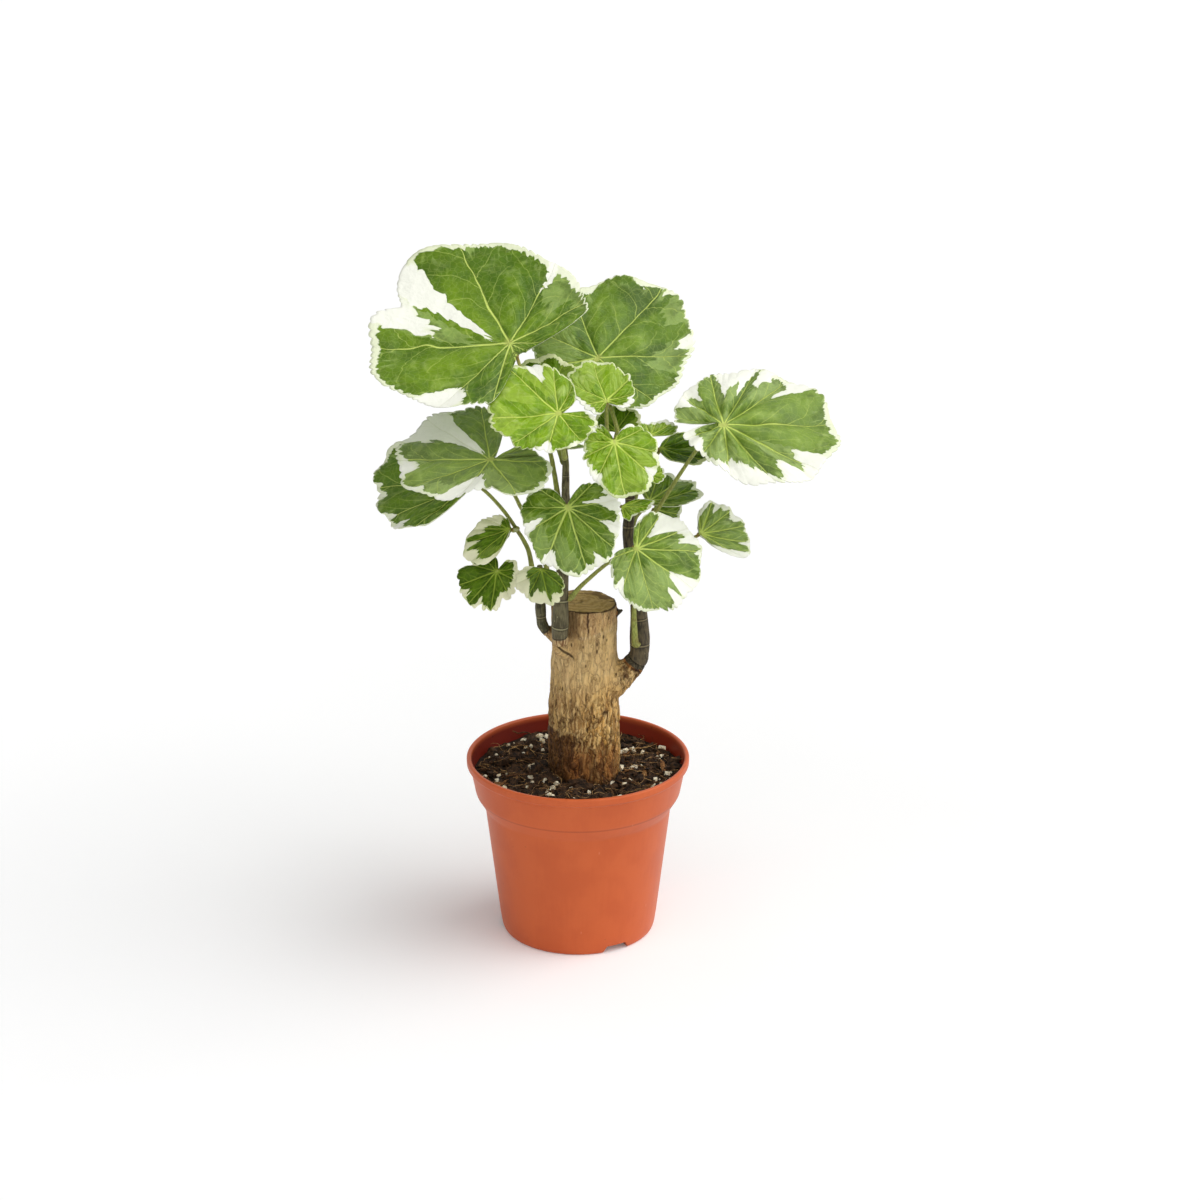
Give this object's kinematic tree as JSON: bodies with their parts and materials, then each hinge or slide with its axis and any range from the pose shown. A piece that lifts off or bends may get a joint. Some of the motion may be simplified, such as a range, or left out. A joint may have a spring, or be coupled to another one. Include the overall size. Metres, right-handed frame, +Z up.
{
  "type": "potted polyscias",
  "caption": "Round-leaved variegated polyscias sprouting from a thick sawn trunk, in a terracotta-coloured nursery pot filled with soil.",
  "frame": {"origin": "middle of the plant's bounding box, on the surface that the pot's foot stands on", "axes": "+Z up along the trunk, +X to the right and -Y towards the side that the leaves face"},
  "size_m": [0.2448, 0.1392, 0.3691],
  "materials": {
    "pot": "satin terracotta-coloured polypropylene",
    "soil": "dark peat with bark, fibres and white perlite",
    "bark": "light tan bark with fine upright fissures",
    "stem": "grey-green young bark",
    "leaf": "soft-gloss green leaf with cream margin",
    "young_leaf": "glossy yellow-green leaf with cream margin",
    "petiole": "smooth olive green"
  },
  "bodies": {
    "root": {"leaf_back_centre": "leaf", "leaf_back_right": "leaf", "leaf_base_left": "leaf", "leaf_bud_right": "young_leaf", "leaf_crown_left": "leaf", "leaf_crown_right": "leaf", "leaf_edge_centre": "leaf", "leaf_fan_right": "leaf", "leaf_far_right": "leaf", "leaf_folded_left": "leaf", "leaf_front_centre": "leaf", "leaf_front_right": "leaf", "leaf_hanging_left": "leaf", "leaf_low_left": "leaf", "leaf_pale_right": "leaf", "leaf_rolled_right": "young_leaf", "leaf_shade_centre": "leaf", "leaf_shade_right": "leaf", "leaf_side_left": "leaf", "leaf_tiny_right": "young_leaf", "leaf_young_centre": "young_leaf", "leaf_young_front": "young_leaf", "leaf_young_top": "young_leaf", "petiole_back_centre": "petiole", "petiole_back_right": "petiole", "petiole_base_left": "petiole", "petiole_bud_right": "petiole", "petiole_crown_left": "petiole", "petiole_crown_right": "petiole", "petiole_edge_centre": "petiole", "petiole_fan_right": "petiole", "petiole_far_right": "petiole", "petiole_folded_left": "petiole", "petiole_front_centre": "petiole", "petiole_front_right": "petiole", "petiole_hanging_left": "petiole", "petiole_low_left": "petiole", "petiole_pale_right": "petiole", "petiole_rolled_right": "petiole", "petiole_shade_centre": "petiole", "petiole_shade_right": "petiole", "petiole_side_left": "petiole", "petiole_tiny_right": "petiole", "petiole_young_centre": "petiole", "petiole_young_front": "petiole", "petiole_young_top": "petiole", "pot": "pot", "soil": "soil", "stem_front": "stem", "stem_left": "stem", "stem_right": "stem", "trunk": "bark"}
  },
  "joints": []
}
